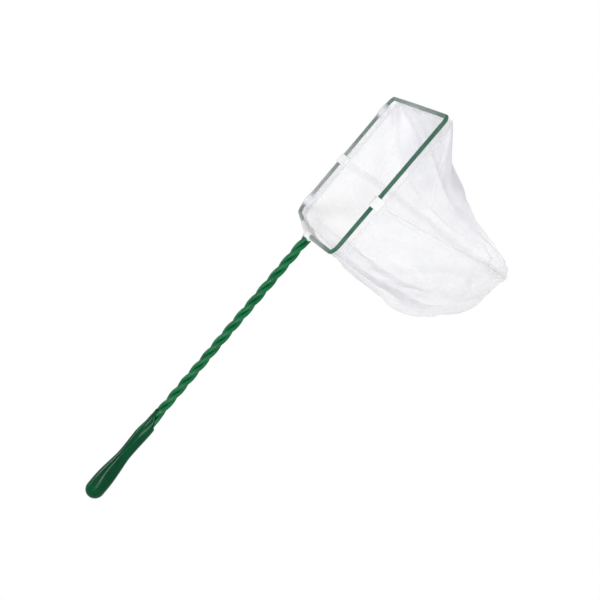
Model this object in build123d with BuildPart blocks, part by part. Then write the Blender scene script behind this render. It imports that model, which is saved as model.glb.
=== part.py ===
"""Aquarium fish net: a rim and twisted shaft bent from one coated wire, a dipped grip and a sewn mesh bag.

The origin is on the shaft's axis at the waist of the grip, where the hand holds it. +X runs along the
handle towards the bag, +Z points up out of the mouth, and the bag hangs towards -Z. Millimetres.
"""

import os
from math import ceil, cos, pi, radians, sin, sqrt, tan

from build123d import *

os.makedirs("parts", exist_ok=True)

# Overall sizes
mouth_length = 80.0
mouth_width = 100.0
handle_length = 186.0
grip_hold = 33.0
bag_depth = 86.5

# Wire: three strands of one length, twisted
wire_diameter = 2.2
strand_gap = 0.2
twist_turns = 4.25
twist_start = 60.0
neck_setback = 5.2
vee_depth = 3.8
near_corner_radius = 6.0
far_corner_radius = 3.5
neck_bend_radius = 3.0
wire_sides = 10
stations_per_turn = 10
bend_step = 18.0

# Hairpin and tail of the wire inside the grip, measured from the grip's end
loop_end = 2.7
loop_shoulder = 11.0
loop_half_width = 3.2
leg_half_width = 1.6
leg_start = 24.0
leg_end = 38.0
tail_end = 46.0
strand_lead = 3.0
leg_bend_share = 0.4
loop_fullness = 0.97

# Grip, measured from its end
grip_length = 61.0
dip_slant = 11.0
bulb_place = 10.0
bulb_radius = 5.2
waist_radius = 3.45
swell_place = 48.0
swell_radius = 3.9
grip_mouth_radius = 3.4
wire_clearance = 0.15
grip_flatness = 0.92
groove_depth = 0.5
groove_start = 8.0
groove_end = 40.0
groove_sharpness = 6
grip_sides = 20
grip_step = 4.0

# Mesh bag: wall, lean towards the handle, hollow of its far side, belly, slack corners and narrow foot
cloth_thickness = 0.5
bag_lean = 28.5
far_hollow = 11.5
bag_belly = 3.8
foot_rise = 28.5
foot_narrowing = 31.0
foot_roundness = 0.35
corner_slack = 26.0
slack_share = 0.32
corner_room = 0.9
bag_layers = 10
side_steps = 4
corner_steps = 4
end_steps = 8

# Main folds of the hanging cloth: they fade out towards the rim, the seam and the foot
fold_depth = 3.6
fold_count = 4.5
fold_slant = 1.0
fold_fade = 12.0

# Hem sleeve round the rim wire
hem_clearance = 0.12
hem_cloth = 0.35
hem_drop = 4.4
hem_fold = 0.9
hem_start = 4.0
hem_gap = 0.8
sleeve_sides = 8

# Seam between the two panels: where it leaves the rim and crosses the foot, past the mouth's middle
seam_left = -3.0
seam_right = -9.6
seam_foot = 6.0
seam_gap = 0.1
seam_width = 4.0
seam_cloth = 0.5
lay_clearance = 0.1

# Cuffs and threads
cuff_length = 5.5
cuff_cloth = 0.45
cuff_drop = 2.9
neck_cuff_length = 17.0
thread_size = 0.4
thread_drop = 3.7

# Places that follow from the sizes
wire_radius = wire_diameter / 2
x_end = -grip_hold
x_near = handle_length - grip_hold
x_far = x_near + mouth_length
x_middle = x_near + mouth_length / 2
half_width = mouth_width / 2
x_vee = x_near - vee_depth
x_twist = x_end + twist_start
x_top = x_vee - neck_setback
strand_radius = (wire_diameter + strand_gap) / 3**0.5
twist_pitch = (x_top - x_twist) / twist_turns
lay = 2 * pi * strand_radius / twist_pitch

# Angles of the three strands round the shaft's axis at the lower end of the twist
upper_leg, lower_leg, tail = 150, 30, -90


def on_strand(x, start_angle):
    """The point of a strand's centre line at x."""
    angle = radians(start_angle) + 2 * pi * (x - x_twist) / twist_pitch
    return Vector(x, strand_radius * cos(angle), strand_radius * sin(angle))


def run_on(x_from, x_to, start_angle):
    """The point that a strand reaches at x_to when it leaves the twist straight on at x_from."""
    angle = radians(start_angle) + 2 * pi * (x_from - x_twist) / twist_pitch
    run = x_to - x_from
    return on_strand(x_from, start_angle) + run * Vector(1, -lay * sin(angle), lay * cos(angle))


def at_grip(place, z):
    """A point of the hairpin, in the plane y = 0, at a distance from the grip's end."""
    return Vector(x_end + place, 0, z)


def bend_radii(points):
    """The radius at each inner point whose arc takes up the bend share of the shorter run beside it."""
    radii = []
    for before, here, after in zip(points, points[1:], points[2:]):
        turn = (here - before).get_angle(after - here)
        shorter = min((here - before).length, (after - here).length)
        radii.append(leg_bend_share * shorter / tan(radians(turn / 2)))
    return radii


def strand_stations(start_angle):
    """Points along a strand, from the lower end of the twist to its upper end."""
    count = round(twist_turns * stations_per_turn)
    return [on_strand(x_twist + (x_top - x_twist) * i / count, start_angle) for i in range(count + 1)]


def bent_stations(line):
    """Points along a run of straights and arcs, past its first one: the ends of each, and steps on an arc."""
    points = []
    for edge in Wire(line.edges()).order_edges():
        straight = edge.geom_type == GeomType.LINE
        steps = 1 if straight else ceil(edge.length / edge.radius / radians(bend_step))
        points += [edge @ (i / steps) for i in range(1, steps + 1)]
    return points


def loft_along(points, side_way, draw, carried=True):
    """A piece of one section lofted through points. Its x axis stays near side_way, or is carried along."""
    runs = [(after - before).normalized() for before, after in zip(points, points[1:])]
    turns = [(before + after).normalized() for before, after in zip(runs, runs[1:])]
    with BuildPart() as piece:
        for point, along in zip(points, [runs[0], *turns, runs[-1]]):
            x_way = (side_way - along * side_way.dot(along)).normalized()
            side_way = x_way if carried else side_way
            with BuildSketch(Plane(origin=point, x_dir=x_way, z_dir=along)):
                draw()
        loft(ruled=True)
    return piece.part


def square_to(point, along):
    """The plane at a point of the rim, square to its direction, with its y axis as near to +Z as can be."""
    return Plane(origin=point, x_dir=Vector(0, 0, 1).cross(along), z_dir=along)


# Rim corners and the bends of the two rim legs at the neck
right_vee = run_on(x_top, x_vee, lower_leg)
left_vee = run_on(x_top, x_vee, tail)
near_right = Vector(x_near, -half_width, 0)
far_right = Vector(x_far, -half_width, 0)
far_left = Vector(x_far, half_width, 0)
near_left = Vector(x_near, half_width, 0)
rim_radii = [near_corner_radius, far_corner_radius, far_corner_radius, near_corner_radius]


def level_on(vee, corner, distance):
    """The point of a rim leg, at the rim's own height, at a distance from its bend at the neck."""
    leg = Vector(corner.X - vee.X, corner.Y - vee.Y, 0).normalized()
    return Vector(vee.X, vee.Y, 0) + distance * leg


right_level = level_on(right_vee, near_right, hem_start)
left_level = level_on(left_vee, near_left, hem_start)

# Legs of the hairpin from the twist down to the loop, and the tail of the third strand
leg_lines = []
for start_angle, side in ((upper_leg, 1), (lower_leg, -1)):
    lead = run_on(x_twist, x_twist - strand_lead, start_angle)
    leg_lines.append(
        [
            on_strand(x_twist, start_angle),
            lead,
            Vector(x_end + tail_end, lead.Y, lead.Z),
            at_grip(leg_end, side * leg_half_width),
            at_grip(leg_start, side * leg_half_width),
            at_grip(loop_shoulder, side * loop_half_width),
            at_grip(loop_end, side * loop_half_width),
        ]
    )
upper_radii, lower_radii = (bend_radii(points) for points in leg_lines)
loop_radius = loop_fullness * loop_half_width
tail_lead = run_on(x_twist, x_twist - strand_lead, tail)
tail_points = [
    on_strand(x_twist, tail),
    tail_lead,
    Vector(x_end + tail_end, tail_lead.Y, tail_lead.Z),
]

# Bent runs of the wire: the hairpin in the grip, the rim, and the tail
with BuildLine() as hairpin:
    FilletPolyline(
        *leg_lines[0],
        *reversed(leg_lines[1]),
        radius=[*upper_radii, loop_radius, loop_radius, *reversed(lower_radii)],
    )
with BuildLine() as rim:
    FilletPolyline(
        on_strand(x_top, lower_leg),
        right_vee,
        right_level,
        near_right,
        far_right,
        far_left,
        near_left,
        left_level,
        left_vee,
        on_strand(x_top, tail),
        radius=[neck_bend_radius, neck_bend_radius, *rim_radii, neck_bend_radius, neck_bend_radius],
    )
with BuildLine() as tail_run:
    FilletPolyline(*tail_points, radius=bend_radii(tail_points))

# Frame wire: one length from the neck down, round the hairpin, up, round the rim and down again
wire_stations = [
    *reversed(strand_stations(upper_leg)),
    *bent_stations(hairpin.line),
    *strand_stations(lower_leg)[1:],
    *bent_stations(rim.line),
    *reversed(strand_stations(tail)[:-1]),
    *bent_stations(tail_run.line),
]
with BuildPart() as frame_wire:
    add(loft_along(wire_stations, Vector(0, 0, 1), lambda: RegularPolygon(wire_radius, wire_sides)))
frame_wire.part.label = "frame_wire"
export_step(frame_wire.part, "parts/frame_wire.step")

# Grip: a dipped bulb with a bore for the twisted strands and a flat pocket for the hairpin
tail_offset = Vector(0, tail_lead.Y, tail_lead.Z).length
bore_radius = tail_offset + wire_radius + wire_clearance
bore_end = leg_end - leg_bend_share * (tail_end - leg_end)
pocket_half_thickness = wire_radius + wire_clearance


def ease(start, end, share):
    """A value between start and end that leaves and arrives level."""
    return start + (end - start) * (1 - cos(pi * share)) / 2


def grip_radius(place):
    """Half height of the grip at a distance from its end: dome, bulb, waist, swell over the tail, mouth."""
    if place < bulb_radius:
        return sqrt(bulb_radius**2 - (bulb_radius - place) ** 2)
    turns = (bulb_place, bulb_radius), (grip_hold, waist_radius), (swell_place, swell_radius)
    for (here, radius), (there, next_radius) in zip(turns, (*turns[1:], (grip_length, grip_mouth_radius))):
        if here <= place <= there:
            return ease(radius, next_radius, (place - here) / (there - here))
    return bulb_radius


def grip_outline(place):
    """Corners of the grip's section: flatter from side to side, with a groove along each flat."""
    height = grip_radius(place)
    groove_share = min(max((place - groove_start) / (groove_end - groove_start), 0), 1)
    groove = groove_depth * sin(pi * groove_share)
    corners = []
    for i in range(grip_sides):
        angle = 2 * pi * i / grip_sides
        width = height * grip_flatness - groove * abs(cos(angle)) ** groove_sharpness
        corners.append((width * cos(angle), height * sin(angle)))
    return corners


dome_places = [bulb_radius * (1 - cos(radians(step))) for step in range(18, 90, 18)]
body_steps = round((grip_length - bulb_radius) / grip_step)
body_places = [bulb_radius + (grip_length - bulb_radius) * i / body_steps for i in range(body_steps + 1)]

with BuildPart() as grip:
    for place in dome_places + body_places:
        with BuildSketch(Plane.YZ.offset(x_end + place)):
            Polygon(*grip_outline(place), align=None)
    loft(ruled=True)
    with BuildSketch(Plane.YZ.offset(x_end + bore_end)):
        RegularPolygon(bore_radius, grip_sides, major_radius=False)
    extrude(amount=grip_length - bore_end, mode=Mode.SUBTRACT)
    with BuildSketch(Plane.XZ) as pocket:
        with Locations((x_end + loop_end + loop_half_width, 0), (x_end + loop_shoulder, 0)):
            Circle(loop_half_width + pocket_half_thickness)
        with Locations((x_end + leg_start, 0), (x_end + leg_end, 0)):
            Circle(leg_half_width + pocket_half_thickness)
        make_hull()
    extrude(amount=pocket_half_thickness, both=True, mode=Mode.SUBTRACT)
    dip_line = Plane(
        origin=(x_end + grip_length, 0, grip_mouth_radius),
        x_dir=(0, 1, 0),
        z_dir=(2 * grip_mouth_radius, 0, -dip_slant),
    )
    split(bisect_by=dip_line, keep=Keep.BOTTOM)
grip.part.label = "grip"
export_step(grip.part, "parts/grip.step")


def bag_drop(share, grow=0.0):
    """Depth of the bag's skin under the rim at a share of the way down its wall."""
    return hem_drop + (bag_depth - hem_drop + grow) * share


def seam_x(share, start):
    """Where the seam crosses a side of the bag at a share of the way down, from its start on the rim."""
    return x_middle + start + (seam_foot - start) * share


def bag_ends(share):
    """Handle end, far end and half width of the bag at a share of the way down."""
    handle_end = x_near + foot_rise * share**5 - bag_belly * sin(pi * share**0.5)
    far_end = x_far - bag_lean * share - far_hollow * sin(pi * share)
    return handle_end, far_end, half_width - foot_narrowing * share**4


def bag_corner_radius(share, x_way):
    """Radius of the section's corners at one end. The far corners go slack below the rim."""
    handle_end, far_end, _ = bag_ends(share)
    seams = seam_x(share, seam_left), seam_x(share, seam_right)
    if x_way < 0:
        radius = near_corner_radius * (1 - share) + foot_roundness * (far_end - handle_end) * share
        return min(radius, corner_room * (min(seams) - handle_end))
    radius = far_corner_radius + ease(0, corner_slack, min(share / slack_share, 1))
    return min(radius, corner_room * (far_end - max(seams)))


def quarter_section(share, x_way, y_way):
    """Points of a quarter of the bag's section, from the seam round a corner to the middle of the end."""
    handle_end, far_end, side = bag_ends(share)
    end = handle_end if x_way < 0 else far_end
    vee = vee_depth * (1 - share) if x_way < 0 else 0
    radius = bag_corner_radius(share, x_way)
    seam = seam_x(share, seam_left if y_way > 0 else seam_right) + x_way * seam_gap / 2
    turn_x, turn_y = end - x_way * radius, side - radius
    points = []
    for step in range(side_steps):
        points.append((seam + (turn_x - seam) * step / side_steps, side))
    for step in range(corner_steps + 1):
        angle = radians(90 * step / corner_steps)
        points.append((turn_x + x_way * radius * sin(angle), turn_y + radius * cos(angle)))
    for step in range(1, end_steps // 2 + 1):
        inward = turn_y * step / (end_steps // 2)
        points.append((end + x_way * vee * inward / half_width, turn_y - inward))
    return [Vector(x, y_way * y, -bag_drop(share)) for x, y in points]


def half_section(share, x_way):
    """Points of one end's half of the bag's section, from the right seam round to the left seam."""
    right, left = (quarter_section(share, x_way, y_way) for y_way in (-1, 1))
    return [*right, *reversed(left[:-1])]


def out_ways(points, x_way):
    """The outward direction in the section at each point of a half, straight out at the seams."""
    ways = [Vector(0, -1, 0)]
    for before, after in zip(points, points[2:]):
        ways.append((after - before).cross(Vector(0, 0, x_way)).normalized())
    return [*ways, Vector(0, 1, 0)]


def fold(points, share):
    """How far the folds stand out at each point of a half: waves round it that slant on the way down."""
    heights = []
    for i, point in enumerate(points):
        from_seam = min((point - points[0]).length, (point - points[-1]).length)
        fade = ease(0, 1, min(max((from_seam - seam_width) / fold_fade, 0), 1))
        turns = fold_count * i / (len(points) - 1) + fold_slant * share
        heights.append(fold_depth * sin(pi * share) * fade * cos(2 * pi * turns))
    return heights


def moved(points, ways, distances):
    """Points moved each by its own distance."""
    return [point + way * distance for point, way, distance in zip(points, ways, distances)]


def skin(share, x_way, grow):
    """Points of one half of the bag's section with its folds, moved outwards by grow."""
    points = half_section(share, x_way)
    folded = moved(points, out_ways(points, x_way), fold(points, share))
    return moved(folded, out_ways(folded, x_way), [grow] * len(points))


bag_shares = [sin(pi / 2 * layer / (bag_layers - 1)) for layer in range(bag_layers)]
sleeve_bore = wire_radius + hem_clearance
sleeve_radius = (sleeve_bore + hem_cloth) / cos(pi / sleeve_sides)
left_place = Vector(x_middle + seam_left, half_width, 0)
right_place = Vector(x_middle + seam_right, -half_width, 0)
half_gap = Vector(seam_gap / 2, 0, 0)


def thin_wall(x_way):
    """A panel's wall, in triangles between one closed thin outline and the next one down."""
    layers = []
    for share in bag_shares:
        outside = skin(share, x_way, cloth_thickness / 2)
        inside = skin(share, x_way, -cloth_thickness / 2)
        layers.append([*outside, *reversed(inside)])
    facets = [Face(Wire.make_polygon(layers[0])), Face(Wire.make_polygon(layers[-1]))]
    for upper, lower in zip(layers, layers[1:]):
        for i in range(len(upper)):
            a, b, c, d = upper[i - 1], upper[i], lower[i], lower[i - 1]
            if i > len(upper) / 2:  # the inside is cut along the same lines as the outside
                a, b, c, d = b, c, d, a
            facets.append(Face(Wire.make_polygon([a, b, c])))
            facets.append(Face(Wire.make_polygon([a, c, d])))
    return Solid(Shell(facets))


def bag_panel(x_way, hem_lines):
    """A panel: its thin wall, its share of the foot, and the hem sleeve folded over the rim wire."""
    with BuildPart() as panel:
        add(thin_wall(x_way))
        with BuildSketch(Plane.XY.offset(-bag_depth)):
            Polygon(*[(point.X, point.Y) for point in skin(1, x_way, cloth_thickness / 2)], align=None)
        extrude(amount=-cloth_thickness)
        for hem_line in hem_lines:
            with BuildSketch(square_to(hem_line @ 0, hem_line % 0)):
                RegularPolygon(sleeve_bore + hem_cloth, sleeve_sides, major_radius=False)
                Rectangle(hem_fold, hem_drop, align=(Align.CENTER, Align.MAX))
                RegularPolygon(sleeve_bore, sleeve_sides, major_radius=False, mode=Mode.SUBTRACT)
            sweep(path=hem_line)
    return panel.part


# Hem lines: the rim between the neck and the seams
right_hem_end = level_on(right_vee, near_right, hem_start + hem_gap)
left_hem_end = level_on(left_vee, near_left, hem_start + hem_gap)
with BuildLine() as far_hem:
    FilletPolyline(
        right_place + half_gap,
        far_right,
        far_left,
        left_place + half_gap,
        radius=far_corner_radius,
    )
with BuildLine() as right_hem:
    FilletPolyline(right_hem_end, near_right, right_place - half_gap, radius=near_corner_radius)
with BuildLine() as left_hem:
    FilletPolyline(left_place - half_gap, near_left, left_hem_end, radius=near_corner_radius)

with BuildPart() as bag_panel_far_side:
    add(bag_panel(1, [far_hem.line]))
bag_panel_far_side.part.label = "bag_panel_far_side"
export_step(bag_panel_far_side.part, "parts/bag_panel_far_side.step")

with BuildPart() as bag_panel_handle_side:
    add(bag_panel(-1, [right_hem.line, left_hem.line]))
bag_panel_handle_side.part.label = "bag_panel_handle_side"
export_step(bag_panel_handle_side.part, "parts/bag_panel_handle_side.step")


def seam_line(lift):
    """Points along the outside of the seam, at a height above the wall's middle: down, across and up."""
    sides = []
    for start, y_way in ((seam_left, 1), (seam_right, -1)):
        points = []
        for share in bag_shares:
            side = bag_ends(share)[2] + lift
            points.append(Vector(seam_x(share, start), y_way * side, -bag_drop(share, lift)))
        points[0] -= Vector(0, 0, lay_clearance)
        sides.append(points)
    return [*sides[0], *reversed(sides[1])]


def seam_strip(lift, width, thickness):
    """A strip that lies along the outside of the seam."""
    return loft_along(seam_line(lift), Vector(1, 0, 0), lambda: Rectangle(width, thickness), carried=False)


# Seam allowance and the thread on it
seam_lift = cloth_thickness + lay_clearance + seam_cloth / 2
with BuildPart() as bag_seam:
    add(seam_strip(seam_lift, seam_width, seam_cloth))
bag_seam.part.label = "bag_seam"
export_step(bag_seam.part, "parts/bag_seam.step")

thread_lift = seam_lift + (seam_cloth + thread_size) / 2 + lay_clearance
with BuildPart() as seam_thread:
    add(seam_strip(thread_lift, thread_size, thread_size))
seam_thread.part.label = "seam_thread"
export_step(seam_thread.part, "parts/seam_thread.step")

# Hem thread: along the outside of the hem, under the wire
with BuildLine() as hem:
    FilletPolyline(
        right_hem_end,
        near_right,
        far_right,
        far_left,
        near_left,
        left_hem_end,
        radius=rim_radii,
    )
with BuildPart() as hem_thread:
    with BuildSketch(square_to(hem.line @ 0, hem.line % 0)):
        with Locations((-(hem_fold + thread_size) / 2 - lay_clearance, -thread_drop)):
            Rectangle(thread_size, thread_size)
    sweep(path=hem.line)
hem_thread.part.label = "hem_thread"
export_step(hem_thread.part, "parts/hem_thread.step")

# Cuffs: folded layers over the hem where the seam meets the rim and where the hem's ends overlap
cuff_bore = sleeve_radius + lay_clearance
cuff_slot = hem_fold + 2 * lay_clearance
neck_cuff_place = level_on(left_vee, near_left, hem_start + hem_gap + neck_cuff_length / 2)
cuff_seats = {
    "seam_cuff_left": (left_place, Vector(1, 0, 0), cuff_length),
    "seam_cuff_right": (right_place, Vector(1, 0, 0), cuff_length),
    "neck_cuff": (neck_cuff_place, (near_left - left_level).normalized(), neck_cuff_length),
}
for name, (place, along, length) in cuff_seats.items():
    with BuildPart() as cuff:
        with BuildSketch(square_to(place, along)):
            Circle(cuff_bore + cuff_cloth)
            Rectangle(cuff_slot + 2 * cuff_cloth, cuff_drop, align=(Align.CENTER, Align.MAX))
            Circle(cuff_bore, mode=Mode.SUBTRACT)
            Rectangle(cuff_slot, cuff_drop, align=(Align.CENTER, Align.MAX), mode=Mode.SUBTRACT)
        extrude(amount=length / 2, both=True)
    cuff.part.label = name
    export_step(cuff.part, f"parts/{name}.step")
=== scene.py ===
from math import ceil, cos, pi, radians, sin, sqrt

import bpy
import numpy as np
from mathutils import Matrix, Vector, noise


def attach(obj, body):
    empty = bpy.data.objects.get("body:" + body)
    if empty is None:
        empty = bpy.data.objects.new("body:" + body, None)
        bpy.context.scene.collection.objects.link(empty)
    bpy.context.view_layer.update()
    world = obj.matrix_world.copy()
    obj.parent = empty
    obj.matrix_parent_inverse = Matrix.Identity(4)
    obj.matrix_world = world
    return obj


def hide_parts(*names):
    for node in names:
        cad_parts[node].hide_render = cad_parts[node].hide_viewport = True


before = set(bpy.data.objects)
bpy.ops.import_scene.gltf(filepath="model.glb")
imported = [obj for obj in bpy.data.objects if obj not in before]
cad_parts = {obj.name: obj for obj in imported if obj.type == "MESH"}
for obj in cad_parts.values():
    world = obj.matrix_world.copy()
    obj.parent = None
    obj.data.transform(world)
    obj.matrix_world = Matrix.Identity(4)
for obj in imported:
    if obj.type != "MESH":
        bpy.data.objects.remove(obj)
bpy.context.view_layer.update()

scene = bpy.context.scene
MM = 0.001

# Sizes of the net in millimetres, as in the solid model
X_END = -33.0  # end of the grip
X_NEAR = 153.0  # handle end of the mouth
X_FAR = 233.0  # far end of the mouth
X_MIDDLE = (X_NEAR + X_FAR) / 2
HALF = 50.0  # half of the mouth's width
VEE = 3.8  # how far the neck stands back from the mouth's corners
X_VEE = X_NEAR - VEE
X_TWIST = 27.0  # where the twist starts
X_TOP = 144.0  # where the twist ends
TURNS = 4.25
PITCH = (X_TOP - X_TWIST) / TURNS
WIRE = 1.1  # radius of the coated wire
STRAND = 2.4 / 3**0.5  # how far the strands' middles are from the shaft's axis
LAY = 2 * pi * STRAND / PITCH
UPPER, LOWER, TAIL = 150.0, 30.0, -90.0  # degrees at which the three strands start
NEAR_R, FAR_R, NECK_R = 6.0, 3.5, 3.0  # bends at the near corners, the far corners and the neck
LEVEL = 4.0  # distance from the vee at which a leg of the neck is level with the mouth
HEM_DROP = 4.4
BAG_DEPTH = 86.5
SEAM_LEFT, SEAM_RIGHT, SEAM_FOOT = -3.0, -9.6, 6.0  # the seam's places from the middle of the mouth


# Small tools
def vec(*p):
    return np.array(p, float)


def unit(v):
    return v / np.linalg.norm(v)


def unit_rows(v):
    return v / np.linalg.norm(v, axis=1)[:, None]


def lengths_along(points):
    """Distance along a polyline to each of its points."""
    return np.concatenate([[0], np.cumsum(np.linalg.norm(np.diff(points, axis=0), axis=1))])


def smooth_step(a, b, x):
    """0 at a, 1 at b and smooth between them. b may be less than a."""
    t = np.clip((x - a) / (b - a), 0, 1)
    return t * t * (3 - 2 * t)


def ease(start, end, share):
    return start + (end - start) * (1 - cos(pi * share)) / 2


def wobble(p, scale, seed):
    """Smooth noise from -1 to 1 at a point in millimetres, with features about scale wide."""
    return noise.noise(Vector((p[0] / scale + seed, p[1] / scale - seed, p[2] / scale + 2 * seed)))


def rounded(points, radii, step=8.0):
    """A polyline with its inner corners rounded by arcs, step degrees to a chord."""
    out = [points[0]]
    for a, b, c, r in zip(points, points[1:], points[2:], radii):
        u, w = unit(a - b), unit(c - b)
        half = np.arccos(np.clip(u @ w, -1, 1)) / 2
        turn = pi - 2 * half
        if turn < 1e-3:
            out.append(b)
            continue
        centre = b + unit(u + w) * (r / sin(half))
        start, end = b + u * (r / np.tan(half)), b + w * (r / np.tan(half))
        e1 = unit(start - centre)
        e2 = unit((end - centre) - e1 * ((end - centre) @ e1))
        n = max(2, ceil(np.degrees(turn) / step))
        out += [centre + r * (cos(turn * i / n) * e1 + sin(turn * i / n) * e2) for i in range(n + 1)]
    return out + [points[-1]]


def resample(points, step):
    """The same line with its points about step apart."""
    p = np.array(points, float)
    at = lengths_along(p)
    n = max(2, round(at[-1] / step))
    s = np.linspace(0, at[-1], n + 1)
    return np.stack([np.interp(s, at, p[:, k]) for k in range(3)], axis=1)


def strip(rows, n, closed):
    """Quads between rows of n points. In a closed strip the last point of a row joins the first."""
    faces = []
    for i in range(rows - 1):
        for k in range(n if closed else n - 1):
            k2 = (k + 1) % n
            faces.append((i * n + k, i * n + k2, (i + 1) * n + k2, (i + 1) * n + k))
    return faces


def add_mesh(name, verts_mm, faces, material, uv=None, sheer=None, subdivide=0):
    """A smooth mesh piece from points in millimetres. uv is one pair of millimetres for each vertex."""
    mesh = bpy.data.meshes.new(name)
    mesh.from_pydata([tuple(float(x) * MM for x in v) for v in verts_mm], [], faces)
    mesh.update()
    mesh.polygons.foreach_set("use_smooth", [True] * len(mesh.polygons))
    if uv is not None:
        layer = mesh.uv_layers.new(name="cloth")
        uv = np.asarray(uv, float)
        loops = np.zeros(len(mesh.loops), np.int32)
        mesh.loops.foreach_get("vertex_index", loops)
        layer.data.foreach_set("uv", uv[loops].astype(np.float32).ravel())
    if sheer is not None:
        made = mesh.attributes.new("sheer", "FLOAT", "POINT")
        made.data.foreach_set("value", np.asarray(sheer, np.float32))
    mesh.materials.append(material)
    obj = bpy.data.objects.new(name, mesh)
    scene.collection.objects.link(obj)
    if subdivide:
        m = obj.modifiers.new("subdivide", "SUBSURF")
        m.levels = m.render_levels = subdivide
    return obj


def stand_for(obj, node):
    """The object rides on the one body and takes the place of a CAD node."""
    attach(obj, "root")
    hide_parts(node)
    return obj


DOME_DEGREES = (20, 45, 75)  # places of the rings in a tube's domed end
DOME_DEPTH = 0.5  # depth of the dome against the tube's radius


def tube(points, radius, sides, first_side=(0, 0, 1)):
    """Vertices, faces and uv of a round tube with domed ends. radius is one number or one for each point."""
    p = np.array(points, float)
    ways = unit_rows(np.diff(p, axis=0))
    along = unit_rows(np.vstack([ways[:1], ways[:-1] + ways[1:], ways[-1:]]))
    radii = np.broadcast_to(radius, len(p))
    at = lengths_along(p)
    side = np.array(first_side, float)
    side_at = []
    for a in along:
        side = unit(side - a * (side @ a))
        side_at.append(side)
    rings, v_at = [], []

    def add_ring(i, past, r):
        """A ring at point i of the tube, moved on along it by past."""
        centre, s, t = p[i] + along[i] * past, side_at[i], np.cross(along[i], side_at[i])
        turns = [2 * pi * k / sides for k in range(sides)]
        rings.append([centre + r * (cos(a) * s + sin(a) * t) for a in turns])
        v_at.append(at[i] + past)

    def add_dome_ring(i, way, degrees):
        past = way * radii[i] * DOME_DEPTH * sin(radians(degrees))
        add_ring(i, past, radii[i] * cos(radians(degrees)))

    for degrees in reversed(DOME_DEGREES):
        add_dome_ring(0, -1, degrees)
    for i in range(len(p)):
        add_ring(i, 0, radii[i])
    for degrees in DOME_DEGREES:
        add_dome_ring(-1, 1, degrees)
    verts = [v for ring in rings for v in ring]
    uv = [(2 * pi * radii[0] * k / sides, v) for v in v_at for k in range(sides)]
    faces = strip(len(rings), sides, True)
    faces.append(tuple(reversed(range(sides))))
    faces.append(tuple((len(rings) - 1) * sides + k for k in range(sides)))
    return verts, faces, uv


def joined(parts):
    """Several (verts, faces, uv) as one."""
    verts, faces, uv = [], [], []
    for v, f, t in parts:
        n = len(verts)
        verts += list(v)
        faces += [tuple(i + n for i in face) for face in f]
        uv += list(t)
    return verts, faces, uv


# Nodes for materials
def new_material(name):
    m = bpy.data.materials.new(name)
    m.use_nodes = True
    return m, m.node_tree.nodes, m.node_tree.links, m.node_tree.nodes["Principled BSDF"]


def noise_node(nodes, links, scale, detail):
    place = nodes.new("ShaderNodeTexCoord")
    n = nodes.new("ShaderNodeTexNoise")
    n.inputs["Scale"].default_value = scale
    n.inputs["Detail"].default_value = detail
    n.inputs["Roughness"].default_value = 0.55
    links.new(place.outputs["Object"], n.inputs["Vector"])
    return n.outputs["Fac"]


def ramp_node(nodes, links, source, dark, light, low=0.3, high=0.7):
    """A colour that goes from dark to light as the source goes from low to high."""
    r = nodes.new("ShaderNodeValToRGB")
    for element, at, colour in zip(r.color_ramp.elements, (low, high), (dark, light)):
        element.position = at
        element.color = (*colour, 1)
    links.new(source, r.inputs["Fac"])
    return r.outputs["Color"]


def range_node(nodes, links, source, low, high, from_low=0.3, from_high=0.7):
    r = nodes.new("ShaderNodeMapRange")
    r.inputs["From Min"].default_value = from_low
    r.inputs["From Max"].default_value = from_high
    r.inputs["To Min"].default_value = low
    r.inputs["To Max"].default_value = high
    links.new(source, r.inputs["Value"])
    return r.outputs["Result"]


def math_node(nodes, links, operation, a, b):
    n = nodes.new("ShaderNodeMath")
    n.operation = operation
    for socket, value in zip(n.inputs, (a, b)):
        if isinstance(value, (int, float)):
            socket.default_value = value
        else:
            links.new(value, socket)
    return n.outputs[0]


def bump_node(nodes, links, bsdf, height, distance, strength):
    b = nodes.new("ShaderNodeBump")
    b.inputs["Distance"].default_value = distance
    b.inputs["Strength"].default_value = strength
    links.new(height, b.inputs["Height"])
    links.new(b.outputs["Normal"], bsdf.inputs["Normal"])


def cloth_uv(nodes):
    uv = nodes.new("ShaderNodeUVMap")
    uv.uv_map = "cloth"
    return uv.outputs["UV"]


# Materials
def coated_wire_material():
    """Green PVC coat, with painted shade on the rim: duller and bluer there than on the shaft, standing in
    for the shade of the hem over it.
    """
    m, nodes, links, bsdf = new_material("green_pvc_wire")
    cloudy = noise_node(nodes, links, scale=160, detail=4)
    shaft = ramp_node(nodes, links, cloudy, dark=(0.002, 0.098, 0.032), light=(0.004, 0.155, 0.050))
    # Painted shade: a duller, bluer green for the rim wire, for the hem's shade on it.
    rim_painted_shade = ramp_node(nodes, links, cloudy, dark=(0.004, 0.090, 0.044), light=(0.006, 0.120, 0.058))
    place = nodes.new("ShaderNodeSeparateXYZ")
    links.new(nodes.new("ShaderNodeTexCoord").outputs["Object"], place.inputs["Vector"])
    # Painted shade mask: 0 on the shaft, rising to 1 from the twist's end to the mouth.
    hem_shade_share = range_node(nodes, links, place.outputs["X"], 0.0, 1.0, X_TOP * MM, X_NEAR * MM)
    mix = nodes.new("ShaderNodeMix")
    mix.data_type = "RGBA"
    links.new(hem_shade_share, mix.inputs["Factor"])
    links.new(shaft, mix.inputs[6])
    links.new(rim_painted_shade, mix.inputs[7])
    links.new(mix.outputs[2], bsdf.inputs["Base Color"])
    links.new(range_node(nodes, links, cloudy, low=0.26, high=0.42), bsdf.inputs["Roughness"])
    fine = noise_node(nodes, links, scale=1400, detail=3)
    bump_node(nodes, links, bsdf, fine, distance=0.04 * MM, strength=0.35)
    bsdf.inputs["Specular IOR Level"].default_value = 0.18
    return m


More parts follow.
